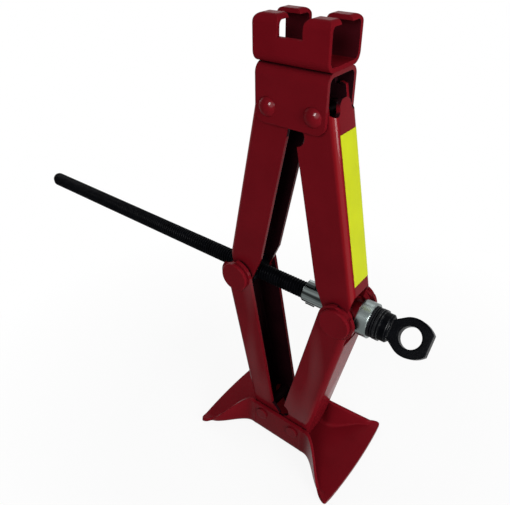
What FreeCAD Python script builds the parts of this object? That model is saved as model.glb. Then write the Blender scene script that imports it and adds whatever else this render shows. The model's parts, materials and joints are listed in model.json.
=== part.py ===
"""Scissor jack: four channel arms between a stamped base and a head, raised by a screw.

Millimetres. The origin is the centre of the base's underside, +Z is up and +X runs
along the screw towards the eye for the crank. The arms stand as in a raised jack.
"""
import FreeCAD
import Part
import Sketcher
import math
import os
from FreeCAD import Placement, Rotation, Vector

SIZES = (
    ("arm_length", 132.0, "pivot to pivot, the same for all four arms"),
    ("pivot_half_gap", 15.0, "half the distance between the two pivots at the base and at the head"),
    ("base_pivot_height", 22.4, "base pins above the ground"),
    ("rest_angle", 78.5, "arms above the horizontal, degrees"),
    ("arm_sheet", 2.5, "sheet of the arms"),
    ("arm_bend_radius", 4.5, "outside bend of the arms"),
    ("upper_arm_width", 24.0, "outside width of the upper arms"),
    ("upper_web_offset", 12.0, "pivot line to the outside of the upper web"),
    ("upper_free_gap", 0.3, "free edge of the upper flanges short of the half gap"),
    ("upper_ear_radius", 10.0, "round end of the upper flanges at the screw"),
    ("upper_ear_back_angle", 45.0, "where the web's side of the flange meets the round end, degrees"),
    ("upper_taper_length", 23.0, "stretch over which the upper flange narrows to its ear"),
    ("arm_side_gap", 2.0, "between the upper and the lower flanges, on each side"),
    ("lower_web_offset", 10.5, "pivot line to the outside of the lower web"),
    ("lower_free_gap", 0.1, "free edge of the lower right flanges short of the half gap"),
    ("lower_left_free_gap", 4.6, "free edge of the lower left flanges short of the half gap"),
    ("lower_ear_radius", 13.0, "round end of the lower flanges at the screw"),
    ("ear_notch_angle", 14.0, "notch in the lower ears, from the arm's line towards the web, degrees"),
    ("ear_notch_width", 12.0, "notch in the lower ears"),
    ("ear_notch_depth", 2.7, "notch in the lower ears"),
    ("web_end_gap", 17.5, "the webs stop this far from the screw's pivots"),
    ("tongue_reach", 6.8, "tongue of a web past the geared pivot"),
    ("tongue_corner", 5.0, "corners of the tongue"),
    ("notch_width", 6.1, "notches beside the tongue"),
    ("notch_depth", 1.5, "bottom of the notches past the pivot"),
    ("notch_bite", 2.6, "how far a notch bites into the flange"),
    ("gear_teeth", 12, "teeth on the whole pitch circle"),
    ("gear_gap_count", 5, "tooth gaps in an arm"),
    ("relief_radius", 6.0, "round relief in the free edges of the right arms, beside the teeth"),
    ("relief_offset", 11.6, "middle of the relief from the geared pivot"),
    ("tooth_addendum", 2.0, "tooth above the pitch circle"),
    ("tooth_dedendum", 2.6, "tooth below the pitch circle"),
    ("pressure_angle", 25.0, "pressure angle, degrees"),
    ("tooth_backlash", 0.4, "play between the teeth"),
    ("running_play", 0.06, "radial play of a pin or shaft in its hole"),
    ("end_play", 0.15, "play between flat faces that turn on each other"),
    ("base_sheet", 3.0, "sheet of the base"),
    ("base_bend_radius", 6.0, "outside bend of the base"),
    ("base_side_gap", 0.6, "between the lower arms and the base flanges"),
    ("flange_above_pivot", 7.7, "top of the base flanges above the base pivots"),
    ("flange_half_length", 21.5, "level stretch of the base flanges, each way"),
    ("flange_drop_start", 26.5, "where the rim of a flange starts to sink"),
    ("flange_drop_length", 34.5, "stretch over which the rim sinks to the wing"),
    ("wing_start", 26.0, "where the base starts to spread"),
    ("wing_spread_length", 36.0, "stretch over which the rim spreads"),
    ("floor_spread_length", 32.0, "stretch over which the floor spreads"),
    ("wing_half_width", 45.0, "half width of the base at its ends"),
    ("wing_side_width", 7.8, "side of the base at its ends, from the flat floor to the rim"),
    ("wing_bend_radius", 4.0, "outside bend of the base at its ends"),
    ("wing_lift", 1.6, "underside of the wing's rim above the ground"),
    ("wing_end", 65.1, "middle of the base's end edge"),
    ("wing_bulge", 2.3, "corners of the base's end edge behind its middle"),
    ("wing_corner", 2.0, "corners of the base"),
    ("base_pin_diameter", 8.0, "base pins"),
    ("base_pin_head_diameter", 10.1, "flat heads of the base pins"),
    ("base_pin_head_height", 1.2, "flat heads of the base pins"),
    ("head_sheet", 2.5, "sheet of the bracket and the saddle"),
    ("head_bend_radius", 6.0, "outside bend of the bracket and the saddle"),
    ("bracket_side_gap", 0.3, "between the upper arms and the bracket"),
    ("bracket_half_length", 23.1, "bracket along the screw, each way"),
    ("bracket_rise", 23.4, "top of the bracket above the top pivots"),
    ("bracket_drop", 9.4, "lower edge of the bracket below the top pivots"),
    ("bracket_corner", 6.0, "lower corners of the bracket"),
    ("rivet_diameter", 8.0, "top rivets"),
    ("rivet_head_diameter", 11.6, "domed heads of the top rivets"),
    ("rivet_head_height", 3.0, "domed heads of the top rivets"),
    ("saddle_half_length", 23.4, "saddle along the screw, each way"),
    ("saddle_half_width", 16.3, "saddle across the screw, each way"),
    ("saddle_height", 24.4, "saddle above the bracket"),
    ("saddle_notch_half_width", 7.8, "notch in each wall of the saddle"),
    ("saddle_notch_floor", 14.3, "floor of the notch above the bracket"),
    ("saddle_tab_corner", 3.5, "corners of the tabs"),
    ("saddle_lip_radius", 5.0, "outside of the curled top of a tab"),
    ("saddle_lip_reach", 5.9, "straight end of the curl"),
    ("stub_diameter", 12.0, "stub shafts of the trunnions"),
    ("nut_diameter", 22.0, "cross barrel of the left trunnion"),
    ("block_diameter", 16.5, "cross barrel of the right trunnion"),
    ("disc_diameter", 22.0, "discs on the stub shafts"),
    ("disc_height", 2.6, "discs on the stub shafts"),
    ("disc_cover", 1.2, "closed outer wall of the discs"),
    ("disc_chamfer", 0.6, "outer edge of the discs"),
    ("spacer_diameter", 20.0, "washers between the arms"),
    ("screw_diameter", 12.0, "outside of the screw's thread"),
    ("screw_reach", 324.0, "screw from the right trunnion's pivot to its far tip"),
    ("screw_tip", 3.0, "taper at the screw's far tip"),
    ("boss_gap", 0.5, "between the upper arms and the boss"),
    ("boss_diameter", 24.0, "boss of the right trunnion"),
    ("boss_length", 8.3, "boss of the right trunnion"),
    ("neck_diameter", 16.0, "neck between the cross barrel and the boss"),
    ("bearing_diameter", 21.0, "thrust bearing"),
    ("bearing_washer", 1.4, "each washer of the thrust bearing"),
    ("ball_diameter", 2.1, "balls of the thrust bearing"),
    ("ball_play", 0.05, "between a ball and a washer"),
    ("ball_count", 10, "balls of the thrust bearing"),
    ("cage_height", 0.9, "ball cage"),
    ("cage_wall", 1.0, "ball cage on each side of the balls"),
    ("flange_diameter", 21.0, "flange of the crank collar"),
    ("flange_length", 2.0, "flange of the crank collar"),
    ("collar_diameter", 19.0, "crank collar"),
    ("collar_length", 5.5, "crank collar"),
    ("collar_chamfer", 1.2, "outer end of the crank collar"),
    ("eye_hole", 14.4, "hole of the eye"),
    ("eye_sheet", 9.0, "eye across its faces"),
    ("eye_edge", 1.0, "rounding of the eye's edges"),
    ("eye_offset", 13.2, "collar's end to the centre of the eye"),
    ("eye_neck_half_width", 6.5, "eye where it leaves the collar, each way"),
    ("eye_half_width", 12.8, "eye across its hole, each way"),
    ("eye_taper_angle", 30.0, "where the neck meets the round of the eye, degrees"),
    ("eye_shoulder_radius", 16.0, "shoulders of the eye"),
    ("eye_end", 12.4, "centre of the hole to the eye's flat end"),
    ("eye_end_half_width", 7.2, "flat end of the eye, each way"),
    ("eye_roll_angle", 43.0, "turn of the eye about the screw, degrees"),
    ("socket_depth", 5.5, "screw's end inside the crank collar"),
    ("sleeve_diameter", 14.4, "stop sleeve"),
    ("sleeve_length", 23.9, "stop sleeve"),
    ("sleeve_pin_length", 7.0, "flat cross pin of the stop sleeve, along the screw"),
    ("sleeve_pin_width", 5.0, "flat cross pin of the stop sleeve"),
    ("sleeve_pin_height", 18.0, "flat cross pin of the stop sleeve, end to end"),
    ("sleeve_pin_offset", 4.5, "middle of the cross pin from the sleeve's far end"),
)

doc = FreeCAD.newDocument("ScissorJack")
sheet = doc.addObject("Spreadsheet::Sheet", "Sizes")
for row, (alias, number, note) in enumerate(SIZES, start=1):
    sheet.set(f"A{row}", alias)
    sheet.set(f"B{row}", str(number))
    sheet.setAlias(f"B{row}", alias)
    sheet.set(f"C{row}", note)
doc.recompute()

# Shared places and widths, written once as expressions on the sheet
RUN = "Sizes.arm_length * cos(Sizes.rest_angle * 1 deg)"
RISE = "Sizes.arm_length * sin(Sizes.rest_angle * 1 deg)"
MID_X = f"(Sizes.pivot_half_gap + {RUN})"
MID_Z = f"(Sizes.base_pivot_height + {RISE})"
TOP_Z = f"(Sizes.base_pivot_height + 2 * {RISE})"
UPPER_HALF = "Sizes.upper_arm_width / 2"
LOWER_HALF = f"({UPPER_HALF} + Sizes.arm_side_gap + Sizes.arm_sheet)"
BASE_HALF = f"({LOWER_HALF} + Sizes.base_side_gap + Sizes.base_sheet)"
BRACKET_HALF = f"({UPPER_HALF} + Sizes.bracket_side_gap + Sizes.head_sheet)"
BRACKET_TOP = f"({TOP_Z} + Sizes.bracket_rise)"
STUB_END = f"({LOWER_HALF} + Sizes.end_play + Sizes.disc_height - Sizes.disc_cover)"
BARREL_HALF = f"({UPPER_HALF} - Sizes.arm_sheet - 2 * Sizes.end_play)"
TIP_RADIUS = "(Sizes.pivot_half_gap + Sizes.tooth_addendum)"
BOSS_START = "(Sizes.upper_ear_radius + Sizes.boss_gap)"
BOSS_END = f"({BOSS_START} + Sizes.boss_length)"
RACE_GAP = "(Sizes.ball_diameter + 2 * Sizes.ball_play)"
SHAFT_RACE_START = f"({BOSS_END} + Sizes.bearing_washer + {RACE_GAP})"
COLLAR_START = f"({SHAFT_RACE_START} + Sizes.bearing_washer)"
SLEEVE_START = "(Sizes.block_diameter / 2 + 2 * Sizes.end_play)"
SCREW_RADIUS = "Sizes.screw_diameter / 2"

nodes = []


def size(expression):
    """Value of an expression on the sheet, in millimetres or degrees."""
    return float(sheet.evalExpression(expression.replace("Sizes.", "")))


def finished(item, label):
    """Name a finished piece and put it on the list of pieces to write."""
    item.Label = label
    nodes.append(item)
    return item


def place(item, x="0", y="0", z="0", axis=None, angle="0"):
    """Put a piece at a point of the frame, turned about an axis, all tied to the sheet."""
    if axis is not None:
        item.Placement = Placement(Vector(), Rotation(axis, size(angle)))
        item.setExpression("Placement.Rotation.Angle", f"({angle}) * 1 deg")
    for key, expression in (("x", x), ("y", y), ("z", z)):
        item.setExpression(f"Placement.Base.{key}", expression)


def new_sketch(body, role, offset=None):
    """Sketch on one of the body's own origin planes, moved along its normal by offset."""
    sketch = body.newObject("Sketcher::SketchObject", "Outline")
    plane = [item for item in body.Origin.OriginFeatures if item.Role == role][0]
    sketch.AttachmentSupport = [(plane, "")]
    sketch.MapMode = "FlatFace"
    if offset is not None:
        sketch.setExpression("AttachmentOffset.Base.z", offset)
    return sketch


def arc_between(start, end, radius):
    """Short arc from start to end; a positive radius turns to the left. Gives arc and its sense."""
    chord = end - start
    half = chord.Length / 2
    reach = math.sqrt(max(radius * radius - half * half, 0.0))
    left = Vector(-chord.y, chord.x, 0).normalize()
    centre = (start + end) / 2 + left * math.copysign(reach, radius)
    first, last = (start, end) if radius > 0 else (end, start)
    angles = [math.atan2(point.y - centre.y, point.x - centre.x) for point in (first, last)]
    circle = Part.Circle(centre, Vector(0, 0, 1), abs(radius))
    return Part.ArcOfCircle(circle, angles[0], angles[1]), radius > 0


def draw_outline(sketch, path):
    """Closed outline whose corners and radii are tied to the sheet.

    path lists corners (x, y) or (x, y, radius): the radius bends the side that leaves
    the corner, to the left when positive. A corner shared by two arcs stays a corner.
    """
    corners = [Vector(size(corner[0]), size(corner[1]), 0) for corner in path]
    starts = []
    ends = []
    for number, corner in enumerate(path):
        start = corners[number]
        end = corners[(number + 1) % len(path)]
        if len(corner) == 3:
            curve, forward = arc_between(start, end, size(corner[2]))
            index = sketch.addGeometry(curve)
            limit = sketch.addConstraint(Sketcher.Constraint("Radius", index, abs(size(corner[2]))))
            sketch.setExpression(f"Constraints[{limit}]", f"abs({corner[2]})")
        else:
            index = sketch.addGeometry(Part.LineSegment(start, end))
            forward = True
        starts.append((index, 1 if forward else 2))
        ends.append((index, 2 if forward else 1))
    for number, corner in enumerate(path):
        index, point = starts[number]
        before, tail = ends[number - 1]
        sketch.addConstraint(Sketcher.Constraint("Coincident", before, tail, index, point))
        for kind, expression, value in (("DistanceX", corner[0], corners[number].x),
                                        ("DistanceY", corner[1], corners[number].y)):
            limit = sketch.addConstraint(Sketcher.Constraint(kind, -1, 1, index, point, value))
            if "Sizes" in expression:
                sketch.setExpression(f"Constraints[{limit}]", expression)


def draw_circle(sketch, x, y, radius):
    """Full circle tied to the sheet."""
    centre = Vector(size(x), size(y), 0)
    index = sketch.addGeometry(Part.Circle(centre, Vector(0, 0, 1), size(radius)))
    for kind, expression, value in (("DistanceX", x, centre.x), ("DistanceY", y, centre.y)):
        limit = sketch.addConstraint(Sketcher.Constraint(kind, -1, 1, index, 3, value))
        if "Sizes" in expression:
            sketch.setExpression(f"Constraints[{limit}]", expression)
    limit = sketch.addConstraint(Sketcher.Constraint("Radius", index, size(radius)))
    sketch.setExpression(f"Constraints[{limit}]", radius)


def polygon(sketch, points):
    """Closed outline of straight sides through worked-out points."""
    for start, end in zip(points, points[1:] + points[:1]):
        sketch.addGeometry(Part.LineSegment(start, end))


def pad(body, sketch, length):
    """Pad to both sides of the sketch."""
    feature = body.newObject("PartDesign::Pad", "Pad")
    feature.Profile = sketch
    feature.Midplane = True
    feature.setExpression("Length", length)
    return feature


def pocket(body, sketch, length=None):
    """Cut to both sides of the sketch, right through if no length is given."""
    feature = body.newObject("PartDesign::Pocket", "Pocket")
    feature.Profile = sketch
    feature.Midplane = True
    if length is None:
        feature.Type = "ThroughAll"
    else:
        feature.setExpression("Length", length)
    return feature


def revolve(body, sketch, axis):
    """Turn the sketch once round one of its own axes."""
    feature = body.newObject("PartDesign::Revolution", "Revolution")
    feature.Profile = sketch
    feature.ReferenceAxis = (sketch, [axis])
    feature.Angle = 360
    return feature


def fillet(body, base, radius, chosen):
    """Round the edges of base that the test chosen(edge) picks."""
    doc.recompute()
    names = [f"Edge{number}" for number, edge in enumerate(base.Shape.Edges, start=1) if chosen(edge)]
    feature = body.newObject("PartDesign::Fillet", "Fillet")
    feature.Base = (base, names)
    feature.setExpression("Radius", radius)
    return feature


def new_body(label):
    """Body for one piece."""
    return finished(doc.addObject("PartDesign::Body", "Body"), label)


def straight_edges_at(z, y):
    """Test for long edges along X at a height z and at y on either side."""
    def chosen(edge):
        first, last = edge.firstVertex().Point, edge.lastVertex().Point
        along = abs(last.y - first.y) < 0.01 and abs(last.z - first.z) < 0.01
        return along and abs(first.z - z) < 0.01 and abs(abs(first.y) - y) < 0.01
    return chosen


def gap_outline(centre_angle):
    """Points of one tooth gap with involute sides, in the arm's side view."""
    pitch_radius = size("Sizes.pivot_half_gap")
    pressure = math.radians(size("Sizes.pressure_angle"))
    base_radius = pitch_radius * math.cos(pressure)
    root_radius = pitch_radius - size("Sizes.tooth_dedendum")
    half_pitch = math.pi / size("Sizes.gear_teeth")
    half_tooth = half_pitch / 2 - size("Sizes.tooth_backlash") / (4 * pitch_radius)
    involute_at_pitch = math.tan(pressure) - pressure
    outside = size(TIP_RADIUS) + size("Sizes.tooth_addendum")
    steps = 6
    flank = [(root_radius, half_pitch - half_tooth - involute_at_pitch)]
    for step in range(steps + 1):
        radius = base_radius + (outside - base_radius) * step / steps
        angle = math.acos(base_radius / radius)
        flank.append((radius, half_pitch - half_tooth - involute_at_pitch + math.tan(angle) - angle))
    sides = [(radius, -turn) for radius, turn in flank] + [(radius, turn) for radius, turn in reversed(flank)]
    return [Vector(radius * math.cos(centre_angle + turn), radius * math.sin(centre_angle + turn), 0)
            for radius, turn in sides]


def arm(label, kind, side, first_gap, free_gap, pin):
    """Channel arm along the body's X from its geared pivot to the screw's pivot.

    side is +1 where the body's Z points to the other arm and -1 where it points away.
    """
    web = f"Sizes.{kind}_web_offset"
    free = f"(Sizes.pivot_half_gap - {free_gap})"
    ear = f"Sizes.{kind}_ear_radius"
    heel = f"sqrt({web} ^ 2 + Sizes.tongue_reach ^ 2)"
    half = UPPER_HALF if kind == "upper" else LOWER_HALF
    gap_pitch = "360 / Sizes.gear_teeth"
    heel_angle = f"({first_gap} + (Sizes.gear_gap_count - 1) * {gap_pitch}) * 1 deg"
    crown_angle = "120 deg"
    far = "2 * Sizes.arm_length"

    def corner(x, inward, radius=None):
        point = (x, f"{side} * ({inward})")
        return point if radius is None else point + (f"{side} * {radius}",)

    body = new_body(label)
    outline = new_sketch(body, "XZ_Plane")
    if kind == "upper":
        back = f"{ear} * sin(Sizes.upper_ear_back_angle * 1 deg)"
        beside = f"{ear} * cos(Sizes.upper_ear_back_angle * 1 deg)"
    else:
        back = f"sqrt({ear} ^ 2 - {web} ^ 2)"
        beside = web
    path = [
        corner("-Sizes.tongue_reach", f"-{web}"),
        corner("Sizes.arm_length - Sizes.web_end_gap", f"-{web}"),
        corner(f"Sizes.arm_length - {back}", f"-{beside}", ear),
        corner(f"Sizes.arm_length + {ear}", "0", ear),
        corner("Sizes.arm_length", ear),
    ]
    if kind == "upper":
        path.append(corner("Sizes.arm_length - Sizes.upper_taper_length", free))
    path += [
        corner(f"sqrt({TIP_RADIUS} ^ 2 - {free} ^ 2)", free, TIP_RADIUS),
        corner(f"{TIP_RADIUS} * cos({crown_angle})", f"{TIP_RADIUS} * sin({crown_angle})", TIP_RADIUS),
        corner(f"{TIP_RADIUS} * cos({heel_angle})", f"{TIP_RADIUS} * sin({heel_angle})"),
        corner(f"{heel} * cos({heel_angle})", f"{heel} * sin({heel_angle})", heel),
    ]
    draw_outline(outline, path)
    slab = pad(body, outline, f"2 * {half}")
    fillet(body, slab, "Sizes.arm_bend_radius", straight_edges_at(-side * size(web), size(half)))

    channel = new_sketch(body, "XZ_Plane")
    floor = f"Sizes.arm_sheet - {web}"
    draw_outline(channel, [
        corner(f"-{far}", floor), corner(far, floor), corner(far, far), corner(f"-{far}", far),
    ])
    hollow = pocket(body, channel, f"2 * ({half} - Sizes.arm_sheet)")
    fillet(body, hollow, "Sizes.arm_bend_radius - Sizes.arm_sheet",
           straight_edges_at(side * size(floor), size(f"{half} - Sizes.arm_sheet")))

    web_end = new_sketch(body, "XY_Plane")
    stop = "Sizes.arm_length - Sizes.web_end_gap"
    inside = f"({half} - Sizes.arm_sheet)"
    draw_outline(web_end, [(stop, f"-{inside}"), (far, f"-{inside}"), (far, inside), (stop, inside)])
    pocket(body, web_end)

    tongue = new_sketch(body, "XY_Plane", f"{-side} * {web}")
    outer = f"({half} - Sizes.arm_sheet + Sizes.notch_bite)"
    inner = f"({outer} - Sizes.notch_width)"
    middle = f"({outer} - Sizes.notch_width / 2)"
    bottom = "(Sizes.notch_depth - Sizes.notch_width / 2)"
    shoulder = "(Sizes.tongue_corner - Sizes.tongue_reach)"
    tip = "-Sizes.tongue_reach"
    straight = f"({inner} - Sizes.tongue_corner)"
    round_notch = "Sizes.notch_width / 2"
    draw_outline(tongue, [
        (f"-{far}", f"-{outer}"),
        (bottom, f"-{outer}", round_notch),
        ("Sizes.notch_depth", f"-{middle}", round_notch),
        (bottom, f"-{inner}"),
        (shoulder, f"-{inner}", "-Sizes.tongue_corner"),
        (tip, f"-{straight}"),
        (tip, straight, "-Sizes.tongue_corner"),
        (shoulder, inner),
        (bottom, inner, round_notch),
        ("Sizes.notch_depth", middle, round_notch),
        (bottom, outer),
        (f"-{far}", outer),
    ])
    pocket(body, tongue, "2 * Sizes.arm_bend_radius")

    teeth = new_sketch(body, "XZ_Plane")
    for number in range(int(size("Sizes.gear_gap_count"))):
        centre = side * math.radians(size(f"{first_gap} + {number} * {gap_pitch}"))
        polygon(teeth, gap_outline(centre))
    pocket(body, teeth)

    if "right" in label:
        relief = new_sketch(body, "XZ_Plane")
        draw_circle(relief, *corner("Sizes.relief_offset", free), "Sizes.relief_radius")
        pocket(body, relief)

    if kind == "lower":
        turn = "Sizes.ear_notch_angle * 1 deg"
        depth = f"({ear} - Sizes.ear_notch_depth)"
        open_end = f"({ear} + Sizes.ear_notch_depth)"
        sides = []
        for reach, across in ((depth, "-1"), (open_end, "-1"), (open_end, "1"), (depth, "1")):
            shift = f"{across} * Sizes.ear_notch_width / 2"
            sides.append(corner(f"Sizes.arm_length + {reach} * cos({turn}) + {shift} * sin({turn})",
                                f"{shift} * cos({turn}) - {reach} * sin({turn})"))
        ear_notch = new_sketch(body, "XZ_Plane")
        draw_outline(ear_notch, sides)
        pocket(body, ear_notch)

    holes = new_sketch(body, "XZ_Plane")
    draw_circle(holes, "0", "0", f"{pin} / 2 + Sizes.running_play")
    draw_circle(holes, "Sizes.arm_length", "0", "Sizes.stub_diameter / 2 + Sizes.running_play")
    pocket(body, holes)
    return body


def arms():
    """The four arms. A left arm has a tooth where its right arm has a gap."""
    right_gap = "(180 - Sizes.rest_angle - 360 / Sizes.gear_teeth)"
    left_gap = f"({right_gap} + 180 / Sizes.gear_teeth)"
    upper_edge = "Sizes.upper_free_gap"
    to_base = {"z": "Sizes.base_pivot_height"}
    to_head = {"z": TOP_Z}
    right = "Sizes.pivot_half_gap"
    left = "-Sizes.pivot_half_gap"
    steep = "Sizes.rest_angle"
    leaning_back = "180 - Sizes.rest_angle"
    down = Vector(0, 1, 0)
    up = Vector(0, -1, 0)
    base_pin = "Sizes.base_pin_diameter"
    rivet = "Sizes.rivet_diameter"
    lower_right = arm("lower_right_arm", "lower", 1, right_gap, "Sizes.lower_free_gap", base_pin)
    lower_left = arm("lower_left_arm", "lower", -1, left_gap, "Sizes.lower_left_free_gap", base_pin)
    upper_right = arm("upper_right_arm", "upper", -1, right_gap, upper_edge, rivet)
    upper_left = arm("upper_left_arm", "upper", 1, left_gap, upper_edge, rivet)
    place(lower_right, right, axis=up, angle=steep, **to_base)
    place(lower_left, left, axis=up, angle=leaning_back, **to_base)
    place(upper_right, right, axis=down, angle=steep, **to_head)
    place(upper_left, left, axis=down, angle=leaning_back, **to_head)


def eased(x, start, length):
    """Smooth step from 0 at start to 1 at start + length."""
    share = min(max((x - start) / length, 0.0), 1.0)
    return share * share * (3 - 2 * share)


def between(first, last, share):
    """Size at a share of the way from one expression to another."""
    return size(first) + (size(last) - size(first)) * share


def base_section(body, x):
    """Cross-section of the stamped base at x: floor, two bends and two walls up to the rim."""
    start = size("Sizes.wing_start")
    spread = eased(x, start, size("Sizes.wing_spread_length"))
    opened = eased(x, start, size("Sizes.floor_spread_length"))
    sunk = eased(x, size("Sizes.flange_drop_start"), size("Sizes.flange_drop_length"))
    half = between(BASE_HALF, "Sizes.wing_half_width", spread)
    wing_floor = "Sizes.wing_half_width - Sizes.wing_side_width"
    flat = between(f"{BASE_HALF} - Sizes.base_bend_radius", wing_floor, opened)
    flange_top = "Sizes.base_pivot_height + Sizes.flange_above_pivot"
    height = between(flange_top, "Sizes.wing_lift", sunk)
    outer = between("Sizes.base_bend_radius", "Sizes.wing_bend_radius", opened)
    inner = outer - size("Sizes.base_sheet")
    reach = math.hypot(half - flat, height - outer)
    straight = math.sqrt(reach * reach - outer * outer)
    angle = math.atan2(height - outer, half - flat) + math.asin(outer / reach)

    def bend_end(radius, side):
        return Vector(side * (flat + radius * math.sin(angle)), outer - radius * math.cos(angle), 0)

    def bend(radius, side):
        turn = angle / 2
        middle = Vector(side * (flat + radius * math.sin(turn)), outer - radius * math.cos(turn), 0)
        return Part.Arc(Vector(side * flat, outer - radius, 0), middle, bend_end(radius, side))

    sketch = new_sketch(body, "YZ_Plane")
    sketch.AttachmentOffset = Placement(Vector(0, 0, x), Rotation())
    tips = {}
    for radius in (outer, inner):
        low = outer - radius
        sketch.addGeometry(Part.LineSegment(Vector(-flat, low, 0), Vector(flat, low, 0)))
        for side in (-1, 1):
            tip = bend_end(radius, side) + Vector(side * math.cos(angle), math.sin(angle), 0) * straight
            sketch.addGeometry(bend(radius, side))
            sketch.addGeometry(Part.LineSegment(bend_end(radius, side), tip))
            tips[radius, side] = tip
    for side in (-1, 1):
        sketch.addGeometry(Part.LineSegment(tips[outer, side], tips[inner, side]))
    return sketch


def base():
    """Stamped base: a channel in the middle whose flanges fold out into wide wings."""
    body = new_body("base_plate")
    level = size("Sizes.flange_half_length")
    past_end = size("Sizes.wing_end + Sizes.base_sheet")
    pad(body, base_section(body, 0), "2 * Sizes.flange_half_length")
    steps = 12
    sections = [base_section(body, level + (past_end - level) * step / steps) for step in range(steps + 1)]
    wing = body.newObject("PartDesign::AdditiveLoft", "Wing")
    wing.Profile = sections[0]
    wing.Sections = sections[1:]
    mirrored = body.newObject("PartDesign::Mirrored", "Wings")
    mirrored.Originals = [wing]
    across = [item for item in body.Origin.OriginFeatures if item.Role == "YZ_Plane"][0]
    mirrored.MirrorPlane = (across, [""])
    body.Tip = mirrored
    doc.recompute()

    ends = new_sketch(body, "XY_Plane")
    side = "Sizes.wing_half_width"
    bulge = "Sizes.wing_bulge"
    edge_radius = f"({side} ^ 2 + {bulge} ^ 2) / (2 * {bulge})"
    for end in ("1", "-1"):
        corner_x = f"{end} * (Sizes.wing_end - {bulge})"
        outside = f"{end} * (Sizes.wing_end + 2 * Sizes.base_sheet)"
        draw_outline(ends, [
            (corner_x, f"-{end} * {side}", edge_radius), (f"{end} * Sizes.wing_end", "0", edge_radius),
            (corner_x, f"{end} * {side}"), (outside, f"{end} * 2 * {side}"),
            (outside, f"-{end} * 2 * {side}"),
        ])
    trimmed = pocket(body, ends)

    def plate_corner(edge):
        first, last = edge.firstVertex().Point, edge.lastVertex().Point
        metal = size("Sizes.base_sheet")
        beside = min(abs(first.y), abs(last.y)) > size(side) - metal
        at_end = min(abs(first.x), abs(last.x)) > size("Sizes.wing_end - 2 * Sizes.wing_bulge")
        through = edge.Length < 2 * metal and abs(first.z - last.z) > metal / 2
        return beside and at_end and through

    fillet(body, trimmed, "Sizes.wing_corner", plate_corner)

    holes = new_sketch(body, "XZ_Plane")
    shank = "Sizes.base_pin_diameter / 2"
    for end in ("1", "-1"):
        draw_circle(holes, f"{end} * Sizes.pivot_half_gap", "Sizes.base_pivot_height", shank)
    pocket(body, holes)


def base_pin(label, x):
    """Flat-headed pin through the base flanges and a lower arm."""
    body = new_body(label)
    shank = "Sizes.base_pin_diameter / 2"
    head = "Sizes.base_pin_head_diameter / 2"
    end = f"({BASE_HALF} + Sizes.base_pin_head_height)"
    profile = new_sketch(body, "XY_Plane")
    draw_outline(profile, [
        ("0", f"-{end}"), (head, f"-{end}"), (head, f"-{BASE_HALF}"), (shank, f"-{BASE_HALF}"),
        (shank, BASE_HALF), (head, BASE_HALF), (head, end), ("0", end),
    ])
    revolve(body, profile, "V_Axis")
    place(body, x, z="Sizes.base_pivot_height")


def rivet(label, x):
    """Dome-headed rivet through the bracket and an upper arm."""
    body = new_body(label)
    shank = "Sizes.rivet_diameter / 2"
    head = "Sizes.rivet_head_diameter / 2"
    dome = f"(({head}) ^ 2 + Sizes.rivet_head_height ^ 2) / (2 * Sizes.rivet_head_height)"
    end = f"({BRACKET_HALF} + Sizes.rivet_head_height)"
    profile = new_sketch(body, "XY_Plane")
    draw_outline(profile, [
        ("0", f"-{end}", dome), (head, f"-{BRACKET_HALF}"), (shank, f"-{BRACKET_HALF}"),
        (shank, BRACKET_HALF), (head, BRACKET_HALF, dome), ("0", end),
    ])
    revolve(body, profile, "V_Axis")
    place(body, x, z=TOP_Z)


def bracket():
    """Inverted channel that holds the top ends of the upper arms."""
    body = new_body("head_bracket")
    half = BRACKET_HALF
    bend = "Sizes.head_bend_radius"
    inner_bend = "(Sizes.head_bend_radius - Sizes.head_sheet)"
    inside = f"({half} - Sizes.head_sheet)"
    flat = f"({half} - {bend})"
    top = "Sizes.bracket_rise"
    spring = f"({top} - {bend})"
    ceiling = f"({top} - Sizes.head_sheet)"
    low = "-Sizes.bracket_drop"
    profile = new_sketch(body, "YZ_Plane")
    draw_outline(profile, [
        (f"-{half}", low), (f"-{half}", spring, f"-{bend}"), (f"-{flat}", top), (flat, top, f"-{bend}"),
        (half, spring), (half, low), (inside, low), (inside, spring, inner_bend), (flat, ceiling),
        (f"-{flat}", ceiling, inner_bend), (f"-{inside}", spring), (f"-{inside}", low),
    ])
    channel = pad(body, profile, "2 * Sizes.bracket_half_length")

    def lower_corner(edge):
        first, last = edge.firstVertex().Point, edge.lastVertex().Point
        across = abs(first.x - last.x) < 0.01 and abs(first.z - last.z) < 0.01
        at_end = abs(abs(first.x) - size("Sizes.bracket_half_length")) < 0.01
        return across and at_end and abs(first.z + size("Sizes.bracket_drop")) < 0.01

    fillet(body, channel, "Sizes.bracket_corner", lower_corner)
    holes = new_sketch(body, "XZ_Plane")
    for end in ("1", "-1"):
        draw_circle(holes, f"{end} * Sizes.pivot_half_gap", "0", "Sizes.rivet_diameter / 2")
    pocket(body, holes)
    place(body, z=TOP_Z)


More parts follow.
